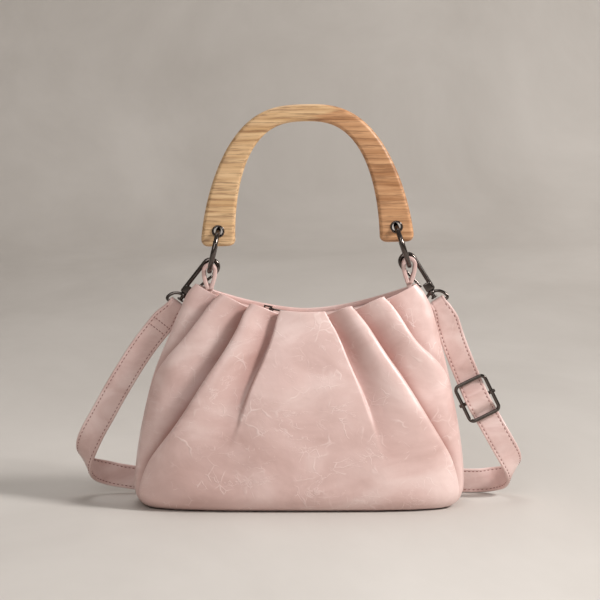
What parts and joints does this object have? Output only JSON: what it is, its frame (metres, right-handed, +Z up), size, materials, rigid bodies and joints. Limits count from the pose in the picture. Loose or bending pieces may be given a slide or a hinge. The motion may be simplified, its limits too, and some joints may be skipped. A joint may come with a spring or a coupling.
{
  "type": "wooden handle handbag",
  "caption": "Small pleated pink leather handbag with a curved wooden top handle on gunmetal rings, a zipped mouth and a buckled crossbody strap.",
  "frame": {"origin": "on the floor under the middle of the base panel", "axes": "+X along the bag's width towards its right side, -Y out of the pleated front, +Z up"},
  "size_m": [0.3298, 0.0976, 0.2913],
  "materials": {
    "pink_leather": "satin",
    "strap_leather": "satin",
    "wood": "satin",
    "gunmetal": "polished",
    "zip_metal": "polished"
  },
  "bodies": {
    "bag": {"front_panel": "pink_leather", "back_panel": "pink_leather", "base_panel": "pink_leather", "zip_facing_front": "pink_leather", "zip_facing_back": "pink_leather", "zip_chain": "zip_metal", "zip_slider": "gunmetal", "loop_left": "pink_leather", "loop_right": "pink_leather", "ring_left": "gunmetal", "ring_right": "gunmetal", "strap_eye_left": "gunmetal", "strap_eye_right": "gunmetal", "strap": "strap_leather", "buckle_frame": "gunmetal", "buckle_pin": "gunmetal"},
    "handle": {"wood_handle": "wood", "eyelet_left": "gunmetal", "eyelet_right": "gunmetal"},
    "zip_tab": {"zip_pull": "gunmetal"},
    "left_hook": {"hook_left": "gunmetal"},
    "right_hook": {"hook_right": "gunmetal"},
    "left_gate": {"gate_left": "gunmetal"},
    "right_gate": {"gate_right": "gunmetal"}
  },
  "joints": [
    {"name": "handle_swing", "type": "hinge", "parent": "bag", "child": "handle", "pos_m": [0.00673, 0, 0.1874], "axis": [0.9996, 0, 0.0268], "range_deg": [-30, 30]},
    {"name": "zip_pull_turn", "type": "hinge", "parent": "bag", "child": "zip_tab", "pos_m": [-0.02151, 0, 0.14327], "axis": [0, -1, 0], "range_deg": [0, 95]},
    {"name": "hook_swivel_left", "type": "hinge", "parent": "bag", "child": "left_hook", "pos_m": [-0.08416, 0.009, 0.15199], "axis": [0.6157, 0, 0.788], "range_deg": [-10, 10]},
    {"name": "hook_swivel_right", "type": "hinge", "parent": "bag", "child": "right_hook", "pos_m": [0.09664, 0.009, 0.15407], "axis": [-0.5299, 0, 0.848], "range_deg": [-10, 10]},
    {"name": "gate_turn_left", "type": "hinge", "parent": "left_hook", "child": "left_gate", "pos_m": [-0.07609, 0.009, 0.15533], "axis": [0, -1, 0], "range_deg": [0, 20], "stiffness_Nm_per_rad": 0.02, "springref_deg": -5.73},
    {"name": "gate_turn_right", "type": "hinge", "parent": "right_hook", "child": "right_gate", "pos_m": [0.08896, 0.009, 0.15824], "axis": [0, 1, 0], "range_deg": [0, 20], "stiffness_Nm_per_rad": 0.02, "springref_deg": -5.73}
  ]
}
